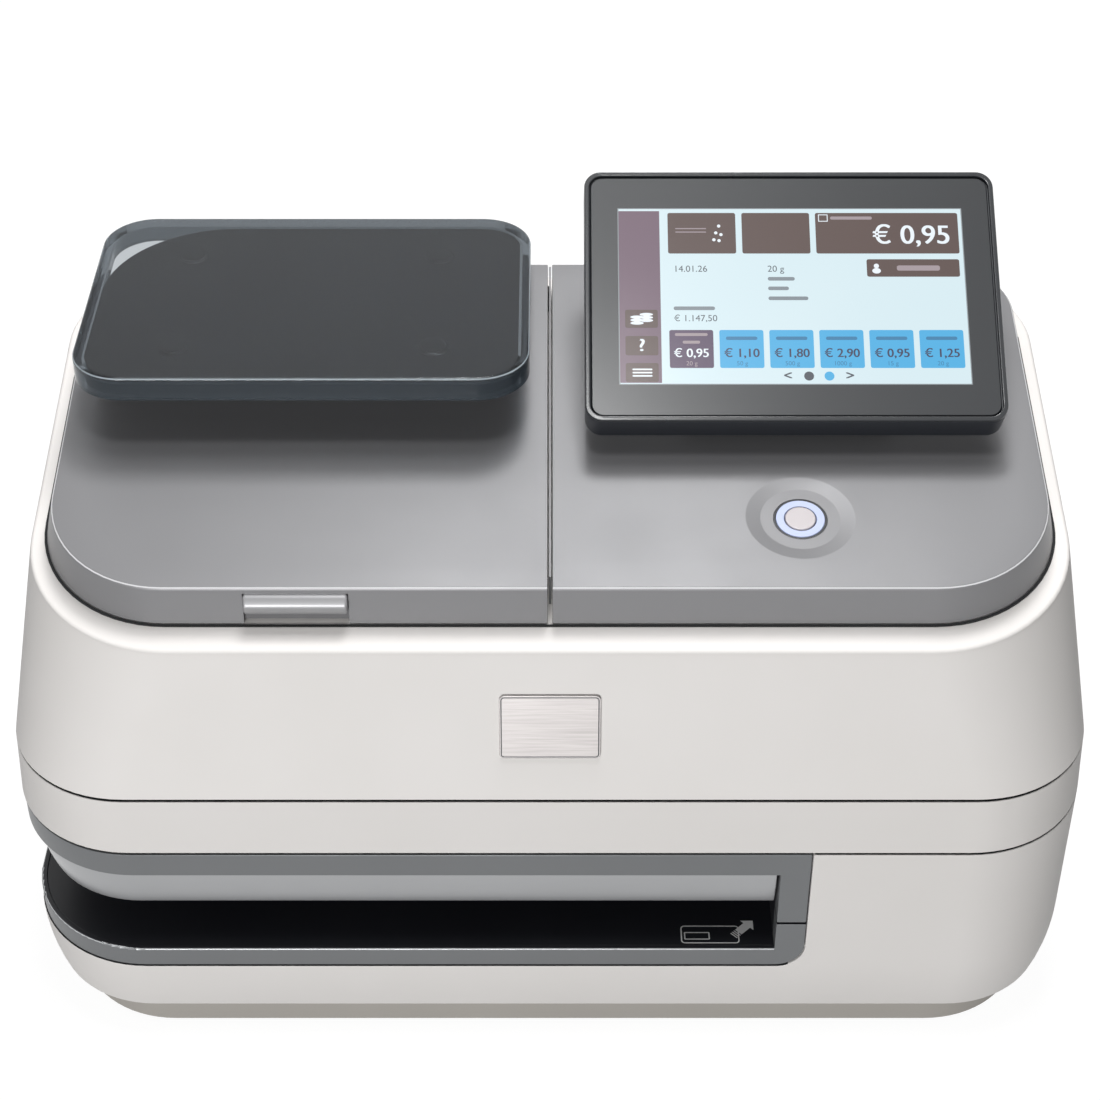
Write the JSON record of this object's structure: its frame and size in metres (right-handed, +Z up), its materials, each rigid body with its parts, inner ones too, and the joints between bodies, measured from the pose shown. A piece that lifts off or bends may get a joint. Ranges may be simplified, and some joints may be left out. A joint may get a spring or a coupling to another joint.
{
  "type": "postage meter",
  "caption": "Desktop postage meter with a letter slot at the front left, a hinged cover with a scale plate, a lit round key and a tilting touch display.",
  "frame": {"origin": "on the desk under the middle of the body", "axes": "+X to the right of the user, +Y to the back of the machine, +Z up"},
  "size_m": [0.377, 0.212, 0.2724],
  "materials": {
    "casing": "fine moulded texture",
    "tray": "moulded",
    "cover": "metallic lacquer",
    "dark_trim": "metallic lacquer",
    "silver_trim": "metallic lacquer",
    "deck": "fine moulded texture",
    "badge": "brushed",
    "smoky_acrylic": "polished",
    "dark_plastic": "moulded",
    "light_ring": "diffusing",
    "pearl": "pearl lacquer",
    "touch_glass": "polished",
    "screen": "lit panel",
    "steel": "ground",
    "sheet_steel": "galvanised",
    "aluminium": "milled",
    "circuit_board": "solder mask",
    "rubber": "moulded",
    "blue_lever": "moulded",
    "yellow_lever": "moulded",
    "motor": "plated can"
  },
  "bodies": {
    "chassis": {"bottom_tray": "tray", "rubber_feet": "rubber", "base_shell": "casing", "letter_deck": "deck", "deck_lip": "dark_trim", "slot_band": "silver_trim", "slot_lip": "dark_trim", "middle_band": "casing", "upper_shell": "casing", "badge_plate": "badge", "cover_hinge_pins": "steel", "right_cover": "cover", "button_bezel": "dark_plastic", "button_light_ring": "light_ring", "button_switch": "dark_plastic", "display_stand": "dark_plastic", "display_hinge_pin": "steel", "letter_fence": "deck", "print_guide": "deck", "lever_pin": "steel", "letter_switch": "dark_plastic", "lift_actuator": "aluminium", "rear_frame": "sheet_steel", "left_bracket": "sheet_steel", "right_bracket": "sheet_steel", "carriage_rods": "steel", "carriage_motor": "motor", "idler_axle": "steel", "carriage_belt": "rubber", "cleaning_station": "dark_plastic", "wiper_blade": "rubber", "main_board": "circuit_board", "power_supply": "sheet_steel", "power_inlet": "dark_plastic", "data_ports": "dark_plastic"},
    "left_cover": {"left_cover": "cover", "cover_grip": "cover", "scale_pedestal": "dark_plastic", "load_cell": "aluminium"},
    "weighing_plate": {"weighing_plate": "smoky_acrylic", "plate_carrier": "dark_plastic"},
    "power_button": {"power_button": "pearl"},
    "display": {"display_housing": "dark_plastic", "display_board": "circuit_board", "lcd_panel": "screen", "touch_glass": "touch_glass", "display_rim": "dark_plastic"},
    "letter_lever": {"letter_lever": "yellow_lever"},
    "pressure_plate": {"pressure_plate": "deck"},
    "print_carriage": {"print_carriage": "dark_plastic", "left_cartridge": "dark_plastic", "right_cartridge": "dark_plastic", "latch_pin": "steel"},
    "left_latch": {"left_latch": "blue_lever"},
    "right_latch": {"right_latch": "blue_lever"},
    "drive_pulley": {"drive_pulley": "aluminium"},
    "idler_pulley": {"idler_pulley": "aluminium"}
  },
  "joints": [
    {"name": "left_cover_hinge", "type": "hinge", "parent": "chassis", "child": "left_cover", "pos_m": [-0.085, 0.07308, 0.21301], "axis": [-1, 0, 0], "range_deg": [0, 50]},
    {"name": "weighing_plate_give", "type": "slide", "parent": "left_cover", "child": "weighing_plate", "axis": [0, 0, -1], "range_m": [0, 0.0004], "stiffness_N_per_m": 120000},
    {"name": "power_button_press", "type": "slide", "parent": "chassis", "child": "power_button", "axis": [0, 0.1822, -0.9833], "range_m": [0, 0.0012], "stiffness_N_per_m": 900},
    {"name": "display_tilt", "type": "hinge", "parent": "chassis", "child": "display", "pos_m": [0.084, 0.00479, 0.21459], "axis": [1, 0, 0], "range_deg": [-20, 4]},
    {"name": "letter_lever_swing", "type": "hinge", "parent": "chassis", "child": "letter_lever", "pos_m": [0.056, 0.006, 0.061], "axis": [0, 0, -1], "range_deg": [0, 20], "stiffness_Nm_per_rad": 0.01},
    {"name": "pressure_plate_lift", "type": "slide", "parent": "chassis", "child": "pressure_plate", "axis": [0, 0, 1], "range_m": [0, 0.018]},
    {"name": "print_carriage_travel", "type": "slide", "parent": "chassis", "child": "print_carriage", "axis": [-1, 0, 0], "range_m": [0, 0.205]},
    {"name": "left_latch_swing", "type": "hinge", "parent": "print_carriage", "child": "left_latch", "pos_m": [0.109, 0.006, 0.136], "axis": [-1, 0, 0], "range_deg": [0, 40]},
    {"name": "right_latch_swing", "type": "hinge", "parent": "print_carriage", "child": "right_latch", "pos_m": [0.141, 0.006, 0.136], "axis": [-1, 0, 0], "range_deg": [0, 40]},
    {"name": "drive_pulley_turn", "type": "hinge", "parent": "chassis", "child": "drive_pulley", "pos_m": [0.148, 0.026, 0.092], "axis": [0, -1, 0], "range_deg": [0, 1480]},
    {"name": "idler_pulley_turn", "type": "hinge", "parent": "chassis", "child": "idler_pulley", "pos_m": [-0.135, 0.026, 0.092], "axis": [0, -1, 0], "range_deg": [0, 1480]}
  ],
  "couplings": [
    {"joint": "drive_pulley_turn", "follows": "print_carriage_travel", "rad_per_m": 125},
    {"joint": "idler_pulley_turn", "follows": "print_carriage_travel", "rad_per_m": 125}
  ]
}
